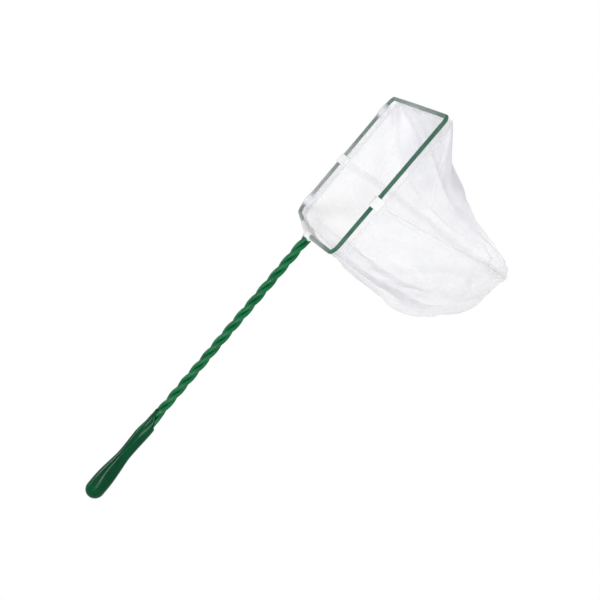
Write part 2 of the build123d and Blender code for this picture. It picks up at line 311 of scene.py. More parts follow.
def vinyl_material():
    """Darker green vinyl with the soft runs of a dip."""
    m, nodes, links, bsdf = new_material("green_dipped_vinyl")
    cloudy = noise_node(nodes, links, scale=90, detail=3)
    green = ramp_node(nodes, links, cloudy, dark=(0.0005, 0.038, 0.014), light=(0.0009, 0.066, 0.024))
    links.new(green, bsdf.inputs["Base Color"])
    links.new(range_node(nodes, links, cloudy, low=0.22, high=0.28), bsdf.inputs["Roughness"])
    runs = noise_node(nodes, links, scale=130, detail=2)
    bump_node(nodes, links, bsdf, runs, distance=0.35 * MM, strength=0.25)
    bsdf.inputs["Specular IOR Level"].default_value = 0.07
    return m


def net_lines(nodes, links, pitch, thread):
    """1 on the threads and 0 in the holes of a net with slanting threads, pitch millimetres apart."""
    parts = nodes.new("ShaderNodeSeparateXYZ")
    links.new(cloth_uv(nodes), parts.inputs["Vector"])
    lines = []
    for way in (1, -1):
        x = math_node(nodes, links, "MULTIPLY", parts.outputs["X"], 1 / pitch / 2**0.5)
        y = math_node(nodes, links, "MULTIPLY", parts.outputs["Y"], way / pitch / 2**0.5)
        across = math_node(nodes, links, "ADD", x, y)
        wave = math_node(nodes, links, "PINGPONG", across, 0.5)
        lines.append(range_node(nodes, links, wave, 1.0, 0.0, thread * 0.3, thread * 0.9))
    return math_node(nodes, links, "MAXIMUM", lines[0], lines[1])


def mesh_material(name, pitch, thread, most, least, dark, light):
    """Knitted net that covers most on its threads and least in its holes.

    The sheer attribute makes it denser where it is above 0, and thinner where it is below; on the bag's walls
    its denser places are painted shade.
    """
    m, nodes, links, bsdf = new_material(name)
    net = net_lines(nodes, links, pitch, thread)
    cover = range_node(nodes, links, net, least, most, 0.0, 1.0)
    sheer = nodes.new("ShaderNodeAttribute")
    sheer.attribute_name = "sheer"
    more = math_node(nodes, links, "MAXIMUM", sheer.outputs["Fac"], 0.0)
    less = math_node(nodes, links, "MINIMUM", sheer.outputs["Fac"], 0.0)
    holes = math_node(nodes, links, "SUBTRACT", 1.0, cover)
    extra = math_node(nodes, links, "MULTIPLY", holes, more)
    cut = math_node(nodes, links, "MULTIPLY", cover, less)
    denser = math_node(nodes, links, "ADD", cover, extra)
    total = math_node(nodes, links, "ADD", denser, cut)
    links.new(total, bsdf.inputs["Alpha"])
    cloudy = noise_node(nodes, links, scale=55, detail=3)
    white = ramp_node(nodes, links, cloudy, dark, light, low=0.35, high=0.65)
    links.new(white, bsdf.inputs["Base Color"])
    bump_node(nodes, links, bsdf, net, distance=0.12 * MM, strength=0.5)
    bsdf.inputs["Roughness"].default_value = 0.62
    bsdf.inputs["Specular IOR Level"].default_value = 0.25
    bsdf.inputs["Sheen Weight"].default_value = 0.15
    return m


def thread_material():
    """White thread with bands across it from its twist."""
    m, nodes, links, bsdf = new_material("white_thread")
    wave = nodes.new("ShaderNodeTexWave")
    wave.inputs["Scale"].default_value = 1.2
    links.new(cloth_uv(nodes), wave.inputs["Vector"])
    bands = wave.outputs["Fac"]
    white = ramp_node(nodes, links, bands, (0.84, 0.84, 0.85), (0.94, 0.94, 0.95), low=0.2, high=0.8)
    links.new(white, bsdf.inputs["Base Color"])
    bump_node(nodes, links, bsdf, bands, distance=0.05 * MM, strength=0.5)
    bsdf.inputs["Roughness"].default_value = 0.55
    return m


green_wire = coated_wire_material()
green_vinyl = vinyl_material()
sheer_mesh = mesh_material(
    "sheer_white_mesh", pitch=0.45, thread=0.30, most=0.27, least=0.17,
    dark=(0.83, 0.83, 0.88), light=(0.88, 0.88, 0.92),
)
doubled_mesh = mesh_material(
    "doubled_white_mesh", pitch=0.45, thread=0.36, most=1.0, least=0.88,
    dark=(0.90, 0.90, 0.90), light=(0.93, 0.93, 0.93),
)
white_thread = thread_material()


# Frame wire: one length of wire from the neck to the grip, back, round the mouth and to the grip again
STEPS_PER_TURN = 36
STUB = 3.2  # the wire's first end, past the twist
LEAD = 3.0  # how far a strand goes straight on from the twist into the grip
LEG_R, TIP_R = 8.0, 3.1  # bends of the hairpin
X_STRAIGHT = X_END + 46.0  # where the strands stop running straight inside the grip
X_CLOSE = (X_END + 38.0, X_END + 24.0)  # where the hairpin's legs lie close
X_WIDE = (X_END + 11.0, X_END + 2.7)  # where they lie wide, in the bulb
CLOSE_HALF, WIDE_HALF = 1.6, 3.2
SHAFT_EXTRA, RIM_LESS = 0.07, 0.17  # the coat is thicker on the shaft, and thinner than that on the rim


def strand_angle(x, start):
    return radians(start) + 2 * pi * (x - X_TWIST) / PITCH


def on_strand(x, start):
    a = strand_angle(x, start)
    return vec(x, STRAND * cos(a), STRAND * sin(a))


def run_on(x_from, x_to, start):
    """Where a strand gets to at x_to if it goes straight on from x_from."""
    a = strand_angle(x_from, start)
    return on_strand(x_from, start) + (x_to - x_from) * vec(1, -LAY * sin(a), LAY * cos(a))


def strand(start):
    n = round(TURNS * STEPS_PER_TURN)
    return [on_strand(X_TWIST + (X_TOP - X_TWIST) * i / n, start) for i in range(n + 1)]


def level_on(vee, corner, distance):
    """A point level with the mouth, at a distance from the vee towards a corner."""
    leg = unit(vec(corner[0] - vee[0], corner[1] - vee[1], 0))
    return vec(vee[0], vee[1], 0) + distance * leg


def into_grip(start):
    """A strand from the end of the twist straight on into the grip."""
    lead = run_on(X_TWIST, X_TWIST - LEAD, start)
    return [on_strand(X_TWIST, start), lead, vec(X_STRAIGHT, lead[1], lead[2])]


def hairpin_leg(start, side):
    """One leg of the hairpin down to its tip, on side 1 above the axis or -1 below."""
    close = [vec(x, 0, side * CLOSE_HALF) for x in X_CLOSE]
    wide = [vec(x, 0, side * WIDE_HALF) for x in X_WIDE]
    return into_grip(start) + close + wide


right_vee, left_vee = run_on(X_TOP, X_VEE, LOWER), run_on(X_TOP, X_VEE, TAIL)
near_right, near_left = vec(X_NEAR, -HALF, 0), vec(X_NEAR, HALF, 0)
far_right, far_left = vec(X_FAR, -HALF, 0), vec(X_FAR, HALF, 0)
right_level = level_on(right_vee, near_right, LEVEL)
left_level = level_on(left_vee, near_left, LEVEL)
rim_corners = [
    on_strand(X_TOP, LOWER), right_vee, right_level, near_right, far_right,
    far_left, near_left, left_level, left_vee, on_strand(X_TOP, TAIL),
]
rim_line = rounded(rim_corners, [NECK_R, NECK_R, NEAR_R, FAR_R, FAR_R, NEAR_R, NECK_R, NECK_R])
hairpin = rounded(
    hairpin_leg(UPPER, 1) + hairpin_leg(LOWER, -1)[::-1],
    [LEG_R] * 5 + [TIP_R] * 2 + [LEG_R] * 5,
)
tail_line = rounded(into_grip(TAIL), [LEG_R])

wire_line = [run_on(X_TOP, X_TOP + STUB, UPPER)]
wire_line += strand(UPPER)[::-1]
wire_line += hairpin[1:]
wire_line += strand(LOWER)[1:]
wire_line += rim_line[1:]
wire_line += strand(TAIL)[::-1][1:]
wire_line += tail_line[1:]
wire_line = [p for i, p in enumerate(wire_line) if i == 0 or np.linalg.norm(p - wire_line[i - 1]) > 1e-3]
wire_radius = [WIRE + SHAFT_EXTRA - RIM_LESS * smooth_step(X_TOP, X_NEAR, p[0]) for p in wire_line]
wire_verts, wire_faces, _ = tube(wire_line, wire_radius, sides=18)
wire = add_mesh("frame_wire_smooth", wire_verts, wire_faces, green_wire)
stand_for(wire, "frame_wire")


# Grip: a dipped skin with a bulb, a waist, a swell and a slanting lip. Places are from its end
GRIP_LENGTH, DIP_SLANT = 61.0, 11.0
BULB_AT, BULB = 10.0, 5.2
WAIST_AT, WAIST = 33.0, 3.45
SWELL_AT, SWELL = 48.0, 3.9
MOUTH = 3.4  # half of the height at the lip
FLAT = 0.92  # width against height
GRIP_SIDES = 72
GROOVE_FROM, GROOVE_LENGTH, GROOVE_DEPTH = 8, 32, 0.85  # between the legs of the hairpin
LUMP = 0.09
VALLEY_FILL = 2.2  # how far from the axis the valleys between the strands are filled
COAT = 0.6  # thickness of the dip where it clings to the strands
DIP_WAVE = 0.35
TIP_ROWS = [0.012, 0.1, 0.35, 0.8, 1.4, 2.2, 3.2, 4.2]
LIP = ((0.05, 0.25), (0.22, 0.45), (0.5, 0.5), (1.2, 0.2), (1.9, -1.5))  # each ring's way in and on


def grip_height(place):
    if place < BULB:
        return sqrt(max(BULB**2 - (BULB - place) ** 2, 0))
    turns = [(BULB_AT, BULB), (WAIST_AT, WAIST), (SWELL_AT, SWELL), (GRIP_LENGTH, MOUTH)]
    for (here, r), (there, s) in zip(turns, turns[1:]):
        if here <= place <= there:
            return ease(r, s, (place - here) / (there - here))
    return BULB


def strand_reach(x, angle):
    """How far from the axis the strands reach at an angle, with the valleys between them half filled."""
    reach = VALLEY_FILL
    for start in (UPPER, LOWER, TAIL):
        _, y, z = on_strand(x, start) if x > X_TWIST else run_on(X_TWIST, max(x, X_TWIST - LEAD), start)
        ahead = y * cos(angle) + z * sin(angle)
        aside = y * sin(angle) - z * cos(angle)
        if ahead > 0 and abs(aside) < WIRE:
            reach = max(reach, ahead + sqrt(WIRE**2 - aside**2))
    return reach


def grip_point(place, angle):
    h = grip_height(place)
    share = min(max((place - GROOVE_FROM) / GROOVE_LENGTH, 0), 1)
    width = h * FLAT - GROOVE_DEPTH * sin(pi * share) * abs(cos(angle)) ** 6
    p = vec(X_END + place, width * cos(angle), h * sin(angle))
    lump = LUMP * wobble(p, 7, 3.1) * smooth_step(3, 12, place)
    out = vec(0, cos(angle), sin(angle))
    # The dip clings to the strands on its long side
    cling = smooth_step(43, 55, place) * smooth_step(-0.5, 0.4, sin(angle))
    tight = vec(p[0], 0, 0) + (strand_reach(p[0], angle) + COAT) * out
    return p + cling * (tight - p) + lump * out


def dip_end(angle):
    """Where the dip ends at an angle: further on the upper side, with a slight wave."""
    z = MOUTH * sin(angle)
    return GRIP_LENGTH - DIP_SLANT * (MOUTH - z) / (2 * MOUTH) + DIP_WAVE * sin(3 * angle + 1)


def make_grip():
    verts = []
    rows = TIP_ROWS + list(np.linspace(BULB, GRIP_LENGTH, 60))
    angles = [2 * pi * k / GRIP_SIDES for k in range(GRIP_SIDES)]
    for place in rows:
        share = smooth_step(20, GRIP_LENGTH, place)
        verts += [grip_point(place + (dip_end(a) - GRIP_LENGTH) * share, a) for a in angles]
    # The lip rolls over and in to the strands
    last_row = verts[-GRIP_SIDES:]
    for draw, push in LIP:
        for p in last_row:
            out = unit(vec(0, p[1], p[2]))
            verts.append(p - out * draw + vec(push, 0, 0))
    faces = strip(len(rows) + len(LIP), GRIP_SIDES, True)
    faces.append(tuple(reversed(range(GRIP_SIDES))))
    return verts, faces


grip_verts, grip_faces = make_grip()
grip = add_mesh("grip_smooth", grip_verts, grip_faces, green_vinyl)
stand_for(grip, "grip")


# Bag: lofted as in the solid model, creased, and hung under gravity.
# Half 0 is the handle side and half 1 the far side. Columns run from the right seam to the left one
COLS, WALL_ROWS, FOOT_ROWS = 96, 40, 6
ROWS = WALL_ROWS + FOOT_ROWS
QUARTER = 12  # steps of a section from a seam to the middle of an end
PART = QUARTER // 3  # steps of each of its parts: the side, the corner and the end
BAG_LEAN, BAG_BELLY, FAR_HOLLOW, FOOT_NARROWING = 28.5, 3.8, 11.5, 31
CORNER_SLACK, SLACK_SHARE = 26, 0.32
FOOT_ROUNDNESS, CORNER_ROOM = 0.35, 0.9
FOLD_DEPTH, FOLD_COUNT = 3.6, 4.5
SEAM_FLAT, FOLD_RISE = 4, 12  # the cloth beside the seam without folds, and the way to the full depth
FOOT_SEAM_DROP = 0.3


def seam_x(share, start):
    return X_MIDDLE + start + (SEAM_FOOT - start) * share


def bag_ends(share):
    """The bag's handle end, far end and half width at a share of the way down."""
    handle = X_NEAR + BAG_LEAN * share**5 - BAG_BELLY * sin(pi * share**0.5)
    far = X_FAR - BAG_LEAN * share - FAR_HOLLOW * sin(pi * share)
    return handle, far, HALF - FOOT_NARROWING * share**4


def corner_radius(share, way):
    handle, far, _ = bag_ends(share)
    seams = seam_x(share, SEAM_LEFT), seam_x(share, SEAM_RIGHT)
    if way < 0:
        round_foot = NEAR_R * (1 - share) + FOOT_ROUNDNESS * (far - handle) * share
        return min(round_foot, CORNER_ROOM * (min(seams) - handle))
    slack = FAR_R + ease(0, CORNER_SLACK, min(share / SLACK_SHARE, 1))
    return min(slack, CORNER_ROOM * (far - max(seams)))


def section_point(share, way, place):
    """A point of the bag's section: 0 at the right seam, 12 at the middle of the end, 24 at the left seam."""
    handle, far, side = bag_ends(share)
    end = far if way > 0 else handle
    vee = VEE * (1 - share) if way < 0 else 0
    r = corner_radius(share, way)
    seam = seam_x(share, SEAM_RIGHT if place <= QUARTER else SEAM_LEFT)
    y_way = -1 if place <= QUARTER else 1
    place = min(place, 2 * QUARTER - place)
    turn_x, turn_y = end - way * r, side - r
    if place < PART:
        x, y = seam + (turn_x - seam) * place / PART, side
    elif place < 2 * PART:
        angle = radians(90 * (place - PART) / PART)
        x, y = turn_x + way * r * sin(angle), turn_y + r * cos(angle)
    else:
        inward = turn_y * (place - 2 * PART) / PART
        x, y = end + way * vee * inward / HALF, turn_y - inward
    return vec(x, y_way * y, -(HEM_DROP + (BAG_DEPTH - HEM_DROP) * share))


def section(share, way):
    """Points of one half of the bag at a share of the way down, with the main folds."""
    base = np.array([section_point(share, way, 2 * QUARTER * j / COLS) for j in range(COLS + 1)])
    ways = np.zeros_like(base)
    ways[1:-1] = np.cross(base[2:] - base[:-2], vec(0, 0, way))
    ways[0], ways[-1] = vec(0, -1, 0), vec(0, 1, 0)
    out = []
    for j, (p, w) in enumerate(zip(base, unit_rows(ways))):
        from_seam = min(np.linalg.norm(p - base[0]), np.linalg.norm(p - base[-1]))
        fade = ease(0, 1, min(max((from_seam - SEAM_FLAT) / FOLD_RISE, 0), 1))
        turns = FOLD_COUNT * j / COLS + share + 0.06 * wobble(p, 22, 2.9)
        out.append(p + w * FOLD_DEPTH * sin(pi * share) * fade * (1.1 - 2.1 * abs(sin(pi * turns))))
    return np.array(out)


def wall_share(i):
    """Share of the way down at a row of the wall. The rows are closer near the foot."""
    return sin(pi / 2 * i / WALL_ROWS)


def bag_grid():
    """Points of both halves, [half, column, row]: down the wall, then in under the foot to its seam."""
    grid = np.zeros((2, COLS + 1, ROWS + 1, 3))
    side = bag_ends(1)[2]
    foot_x, foot_z = X_MIDDLE + SEAM_FOOT, -BAG_DEPTH - FOOT_SEAM_DROP
    foot = np.array([vec(foot_x, side * (2 * j / COLS - 1), foot_z) for j in range(COLS + 1)])
    for half, way in ((0, -1), (1, 1)):
        for i in range(WALL_ROWS + 1):
            grid[half, :, i] = section(wall_share(i), way)
        for i in range(1, FOOT_ROWS + 1):
            grid[half, :, WALL_ROWS + i] = foot + (grid[half, :, WALL_ROWS] - foot) * (1 - i / FOOT_ROWS)
    return grid


def weld(grid):
    """Vertex numbers for [half, column, row], with the seams and the foot shared, and their points."""
    number, points = np.zeros(grid.shape[:3], int), []
    for half in (0, 1):
        for j in range(COLS + 1):
            for i in range(ROWS + 1):
                if half == 1 and (j in (0, COLS) or i == ROWS):
                    number[half, j, i] = number[0, j, i]
                    continue
                number[half, j, i] = len(points)
                points.append(grid[half, j, i])
    return number, np.array(points)


def quads(number, half):
    """Faces between vertex numbers in columns and rows, turned to face out on each half."""
    faces = []
    for j in range(number.shape[0] - 1):
        for i in range(number.shape[1] - 1):
            q = (number[j, i], number[j + 1, i], number[j + 1, i + 1], number[j, i + 1])
            faces.append(tuple(int(k) for k in (q if half else q[::-1])))
    return faces


def out_ways(points, faces):
    ways = np.zeros_like(points)
    for f in faces:
        a, b, c, d = (points[k] for k in f)
        n = np.cross(c - a, d - b)
        for k in f:
            ways[k] += n
    return ways / np.maximum(np.linalg.norm(ways, axis=1), 1e-9)[:, None]


# Creases of the cloth
SLOPE_REACH = 0.8  # how far to each side the creases' slope is measured
RIDGE_PULL = 2.0  # how strongly points are drawn towards the ridges


def crease(p, wide, tall, seed):
    """Noise up to 1 with sharp ridges, about wide across and tall down."""
    n = noise.noise(Vector(((p[0] + 0.35 * p[2]) / wide + seed, p[1] / wide - seed, p[2] / tall + 2 * seed)))
    return 1 - 3.2 * abs(n)


def folds(p):
    return 1.5 * crease(p, 22, 34, 1.7) + 1.1 * crease(p, 13, 15, 6.2)


def folded(p, way):
    """A point moved out by the folds, and towards their ridges so that these are narrow."""
    slope = vec(*[folds(p + e) - folds(p - e) for e in np.eye(3) * SLOPE_REACH]) / (2 * SLOPE_REACH)
    slope -= way * (slope @ way)
    return p + smooth_step(6, 30, -p[2]) * (way * folds(p) + RIDGE_PULL * slope)


# Gravity
HANG_SCALE = 0.01  # metres for a millimetre while it hangs, ten times as large as it is
HANG_FRAMES = 26
HANG_PULL = (-1.2, -0.3, -9.0)  # gravity, with a little drift to the handle and to the right
MOST_MOVED = 3.5  # millimetres that a point may move from the loft


def hang(points, faces, pinned):
    """The cloth after it has hung for some frames, pinned at its top."""
    mesh = bpy.data.meshes.new("hanging")
    mesh.from_pydata([tuple(float(x) for x in p * HANG_SCALE) for p in points], [], faces)
    obj = bpy.data.objects.new("hanging", mesh)
    scene.collection.objects.link(obj)
    group = obj.vertex_groups.new(name="held")
    group.add([int(k) for k in pinned], 1.0, "REPLACE")
    cloth = obj.modifiers.new("cloth", "CLOTH")
    s = cloth.settings
    s.quality = 7
    s.mass = 0.12
    s.tension_stiffness = s.compression_stiffness = 40
    s.shear_stiffness = 15
    s.bending_stiffness = 1.2
    s.tension_damping = s.compression_damping = 8
    s.bending_damping = 0.6
    s.air_damping = 2.5
    s.shrink_min = -0.005
    s.vertex_group_mass = "held"
    cloth.collision_settings.use_collision = False
    cloth.collision_settings.use_self_collision = False
    cloth.point_cache.frame_start, cloth.point_cache.frame_end = 1, HANG_FRAMES
    kept = tuple(scene.gravity)
    scene.gravity = HANG_PULL
    for f in range(1, HANG_FRAMES + 1):
        scene.frame_set(f)
    e = obj.evaluated_get(bpy.context.evaluated_depsgraph_get())
    hung = np.array([v.co for v in e.data.vertices], float) / HANG_SCALE
    scene.gravity = kept
    scene.frame_set(1)
    bpy.data.objects.remove(obj)
    return hung


number, loft_points = weld(bag_grid())
bag_faces = quads(number[0], 0) + quads(number[1], 1)
loft_ways = out_ways(loft_points, bag_faces)
creased = np.array([folded(p, w) for p, w in zip(loft_points, loft_ways)])
hung = hang(creased, bag_faces, [*number[0, :, 0], *number[1, :, 0]])
moved = hung - loft_points
far_moved = np.linalg.norm(moved, axis=1)
hung = loft_points + moved * (np.minimum(far_moved, MOST_MOVED) / np.maximum(far_moved, 1e-9))[:, None]

# The two right corners: how far the cloth swings out, as (share of the way down, millimetres)
SWAY_WIDTH = 3.5  # steps of a section
HANDLE_SWAY = [
    (0, 0), (0.06, 2.5), (0.2, 1.2), (0.35, -0.8), (0.5, -2.4),
    (0.62, -3.4), (0.75, -2.2), (0.88, -0.6), (1, 0),
]
FAR_SWAY = [
    (0, 0), (0.05, -1.8), (0.13, -3.0), (0.3, -2.6), (0.45, -1.6),
    (0.58, 0.6), (0.7, 4.0), (0.82, 4.2), (0.92, 1.5), (1, 0),
]
for half, sway, way in ((0, HANDLE_SWAY, unit(vec(-1, -1, 0))), (1, FAR_SWAY, unit(vec(1, -1, 0)))):
    for j in range(COLS + 1):
        near = np.exp(-((2 * QUARTER * j / COLS - QUARTER / 2) / SWAY_WIDTH) ** 2)
        for i in range(WALL_ROWS + 1):
            hung[number[half, j, i]] += near * np.interp(wall_share(i), *zip(*sway)) * way


# Panels: the hung wall with its hem folded over the wire
HEM_FROM = 4.5  # half of the gap in the hem at the neck
HEM_R = 1.27  # the sleeve round the wire
SLEEVE_FOOT = -2.3  # the sleeve is above this, and the flat of the hem below
HEM_UV = 14.0  # where the hem starts in the cloth's uv
GATHER_COVER = 0.95  # density of the bunched hem

hem_profile = [(-0.55, -4.5), (-0.5, -3.4), (-0.62, -2.2)]
hem_profile += [(HEM_R * cos(radians(a)), HEM_R * sin(radians(a))) for a in range(222, -50, -22)]
hem_profile += [(0.62, -2.2), (0.42, -3.4)]
rim_points = resample(rim_line, 0.1)


def nearest_rim(p):
    d = np.linalg.norm(rim_points[:, :2] - p[:2], axis=1)
    return rim_points[int(np.argmin(d))]


def gather_at(p):
    """How much the hem is bunched, from 0 to 1: beside both corners on the left side."""
    along = smooth_step(0, 3, p[0] - (X_NEAR + 3)) * smooth_step(0, 4, X_NEAR + 13 - p[0])
    along += smooth_step(0, 3, p[0] - (X_FAR - 14)) * smooth_step(0, 3, X_FAR - 4 - p[0])
    return along if p[1] > HALF - 3 else 0.0


def hem_cover(p, sleeve):
    """Density of the hem against plain cloth: thin on the right side and at the far left corner."""
    right = smooth_step(-30, -49, p[1]) if p[0] > X_NEAR - 2 else 0.0
    if not sleeve:
        return 0.15 * (1 - right) - 0.5 * right
    dense = 0.16 + 0.12 * smooth_step(X_NEAR + 4, X_NEAR, p[0])
    patch = 0.32 * wobble(p, 13, 8.3) - 0.04
    corner = smooth_step(15, 42, p[1]) * smooth_step(X_FAR - 14, X_FAR - 5, p[0])
    return dense * (1 - right) - 0.78 * right + patch - 0.42 * corner


def wall_painted_shade(p):
    """Painted shade on the wall, as density against plain cloth: denser at both ends of the mouth, which are
    in shade, and mottled along the creases.
    """
    share = np.clip((-p[2] - HEM_DROP) / (BAG_DEPTH - HEM_DROP), 0, 1)
    handle, far, _ = bag_ends(share)
    # Painted shade: denser cloth where the far end and the handle end of the mouth are in shade, and along
    # the creases.
    far_end_shade = smooth_step(far - 11, far - 4, p[0]) * smooth_step(60, 25, -p[2])
    handle_end_shade = smooth_step(handle + 9, handle + 3, p[0]) * smooth_step(32, 8, -p[2])
    return 0.75 * far_end_shade + 0.1 * handle_end_shade + 0.16 * crease(p, 15, 20, 4.6)


def hem_column(top, j, across, half):
    """Vertices, uv and density of the hem above one column of the wall, from its inner edge over the wire."""
    before, after = top[max(j - 1, 0)], top[min(j + 1, COLS)]
    way = unit(vec(after[0] - before[0], after[1] - before[1], 0))
    out = vec(way[1], -way[0], 0) * (1 if half else -1)
    centre = nearest_rim(top[j])
    gather = gather_at(top[j])
    verts, uv, sheer = [], [], []
    for k, (a, b) in enumerate(hem_profile):
        pucker = wobble(vec(across, 4.0 * k, 40 * half), 8.0, 2.3)
        bunch = 0.28 + 0.22 * wobble(vec(across, 3 * k, 7), 1.6, 4.4)
        big = 1 + 0.03 * pucker + gather * bunch
        drop = b * (big if b > -2 else 1)
        low = 0.3 * pucker if k == 0 else 0.0
        verts.append(centre + out * a * big + vec(0, 0, drop + low))
        uv.append((across, HEM_UV - k))
        cover = hem_cover(top[j], b > SLEEVE_FOOT)
        bunched = min(gather, 1) if b > SLEEVE_FOOT else 0.0
        sheer.append(cover + (GATHER_COVER - cover) * bunched)
    return verts, uv, sheer


def at_neck_gap(top, j):
    return min(abs(top[j][1]), abs(top[j + 1][1])) < HEM_FROM and top[j][0] < X_NEAR


def make_panel(half):
    """Vertices, faces, uv and density of one panel."""
    points = hung[number[half]]
    top = points[:, 0]
    across = lengths_along(top)
    verts, uv, sheer = [], [], []
    for j in range(COLS + 1):
        down = lengths_along(points[j])
        verts += list(points[j])
        uv += [(across[j], -d) for d in down]
        # The wall's density is painted shade.
        sheer += [wall_painted_shade(p) for p in points[j]]
    wall = np.arange(len(verts)).reshape(COLS + 1, ROWS + 1)
    faces = quads(wall, half)
    hem = len(verts) + np.arange((COLS + 1) * len(hem_profile)).reshape(COLS + 1, len(hem_profile))
    for j in range(COLS + 1):
        v, t, s = hem_column(top, j, across[j], half)
        verts += v
        uv += t
        sheer += s
    hem_and_top = np.hstack([hem, wall[:, :1]])
    for j in range(COLS):
        if half == 1 or not at_neck_gap(top, j):
            faces += quads(hem_and_top[j:j + 2], half)
    used = sorted({k for f in faces for k in f})
    renumber = {k: n for n, k in enumerate(used)}
    faces = [tuple(renumber[k] for k in f) for f in faces]
    return [verts[k] for k in used], faces, [uv[k] for k in used], [sheer[k] for k in used]


for half, node in ((0, "bag_panel_handle_side"), (1, "bag_panel_far_side")):
    v, f, t, s = make_panel(half)
    panel = add_mesh(node + "_cloth", v, f, sheer_mesh, uv=t, sheer=s, subdivide=1)
    stand_for(panel, node)


# Seam allowance and its thread
SEAM_COVER = -0.88  # it hardly covers more than the cloth beside it
SEAM_LOWER = [(-2.0, 0.25), (-1.2, 0.3), (-0.4, 0.35), (0.4, 0.4), (1.2, 0.45), (2.0, 0.55)]
SEAM_EDGE = [(2.15, 0.8)]
SEAM_UPPER = [(2.0, 1.0), (1.2, 0.85), (0.4, 0.75), (-0.4, 0.7), (-1.2, 0.7), (-2.0, 0.75)]
STITCH_BOW = ((0, -0.25), (0.12, 0.05), (0.35, 0.2), (0.65, 0.2), (0.88, 0.05), (1, -0.25))


def seam_points():
    """Points and outward ways along the seam: down the right side, across the foot, up the left."""
    places = [(0, i) for i in range(WALL_ROWS)] + [(j, ROWS) for j in range(0, COLS + 1, 4)]
    places += [(COLS, i) for i in range(WALL_ROWS - 1, -1, -1)]
    line = resample([hung[number[0, j, i]] for j, i in places], 1.2)
    for _ in range(3):
        line[1:-1] = (line[:-2] + 2 * line[1:-1] + line[2:]) / 4
    under = smooth_step(BAG_DEPTH - 14, BAG_DEPTH - 1, -line[:, 2])
    out = np.stack([0 * under, np.sign(line[:, 1]) * (1 - under), -under], axis=1)
    return line, unit_rows(out)


def make_seam():
    """The allowance folded in two layers, flat on the bag, with a slightly uneven edge."""
    verts, uv, sheer = [], [], []
    profile = SEAM_LOWER + SEAM_EDGE + SEAM_UPPER
    n = len(profile)
    along = lengths_along(seam_line)
    for d, p, o, s in zip(along, seam_line, seam_out, seam_side):
        for k, (a, b) in enumerate(profile):
            edge = 1 + 0.10 * wobble(vec(d, k, 0), 4.0, 6.6)
            lift = 0.18 * wobble(vec(d, 2 * k, 9), 5.0, 8.2)
            verts.append(p + s * a * edge + o * (b + lift * (abs(a) > 1)))
            uv.append((d, a + (6 if k > n // 2 else 0)))
            sheer.append(SEAM_COVER)
    return verts, strip(len(seam_line), n, False), uv, sheer


def stitches(line, out, lift, stitch, gap, radius, start=0.0):
    """Short bowed threads along a line, each with its ends sunk in the cloth."""
    at = lengths_along(line)

    def place(s, rise):
        p = np.array([np.interp(s, at, line[:, k]) for k in range(3)])
        o = np.array([np.interp(s, at, out[:, k]) for k in range(3)])
        return p + o * (lift + rise)

    parts = []
    s = start
    while s + stitch < at[-1]:
        bow = [place(s + stitch * share, rise) for share, rise in STITCH_BOW]
        parts.append(tube(bow, radius, sides=8, first_side=unit(vec(0.3, 0.5, 0.8))))
        s += stitch + gap
    return joined(parts)


seam_line, seam_out = seam_points()
seam_way = unit_rows(np.gradient(seam_line, axis=0))
seam_out = unit_rows(seam_out - seam_way * (seam_out * seam_way).sum(1)[:, None])
seam_side = np.cross(seam_way, seam_out)

v, f, t, s = make_seam()
seam = add_mesh("bag_seam_cloth", v, f, doubled_mesh, uv=t, sheer=s)
stand_for(seam, "bag_seam")

v, f, t = stitches(seam_line, seam_out, lift=0.95, stitch=1.9, gap=0.7, radius=0.13, start=1.0)
seam_thread = add_mesh("seam_stitches", v, f, white_thread, uv=t)
stand_for(seam_thread, "seam_thread")


# Hem thread: stitches on the outside of the hem
HEM_THREAD_FROM = LEVEL + 0.8
HEM_THREAD_DROP = 3.7

hem_corners = [
    level_on(right_vee, near_right, HEM_THREAD_FROM), near_right, far_right,
    far_left, near_left, level_on(left_vee, near_left, HEM_THREAD_FROM),
]
hem_line = resample(rounded(hem_corners, [NEAR_R, FAR_R, FAR_R, NEAR_R]), 0.8)
hem_way = unit_rows(np.gradient(hem_line, axis=0))
hem_out = np.stack([hem_way[:, 1], -hem_way[:, 0], np.zeros(len(hem_way))], axis=1)
hem_line = hem_line + vec(0, 0, -HEM_THREAD_DROP)
v, f, t = stitches(hem_line, hem_out, lift=0.42, stitch=2.2, gap=0.8, radius=0.1)
hem_thread = add_mesh("hem_stitches", v, f, white_thread, uv=t)
stand_for(hem_thread, "hem_thread")


# Cuffs: doubled cloth wrapped over the hem
CUFF_COVER = 0.6
CUFF_THICK = 0.35
CUFF_LENGTH, CUFF_STEPS = 5.5, 12
CUFF_R, CUFF_DROP, CUFF_PLEAT = 1.8, 3.4, 0.10
NECK_CUFF_R, NECK_CUFF_DROP, NECK_CUFF_PLEAT = 1.9, 4.6, 0.14
NECK_RIGHT, NECK_LEFT = 6.0, 22.5  # how far the neck's cuff reaches along each leg


def wrap_profile(radius, drop):
    """The section of a cuff: up the inside, round the wire and down the outside."""
    inside = [(-0.85, -drop), (-0.85, -drop * 0.75), (-1.0, -2.0)]
    over = [(radius * cos(radians(a)), radius * sin(radians(a))) for a in range(216, -40, -18)]
    outside = [(1.0, -2.0), (0.85, -drop * 0.75), (0.85, -drop)]
    return inside + over + outside


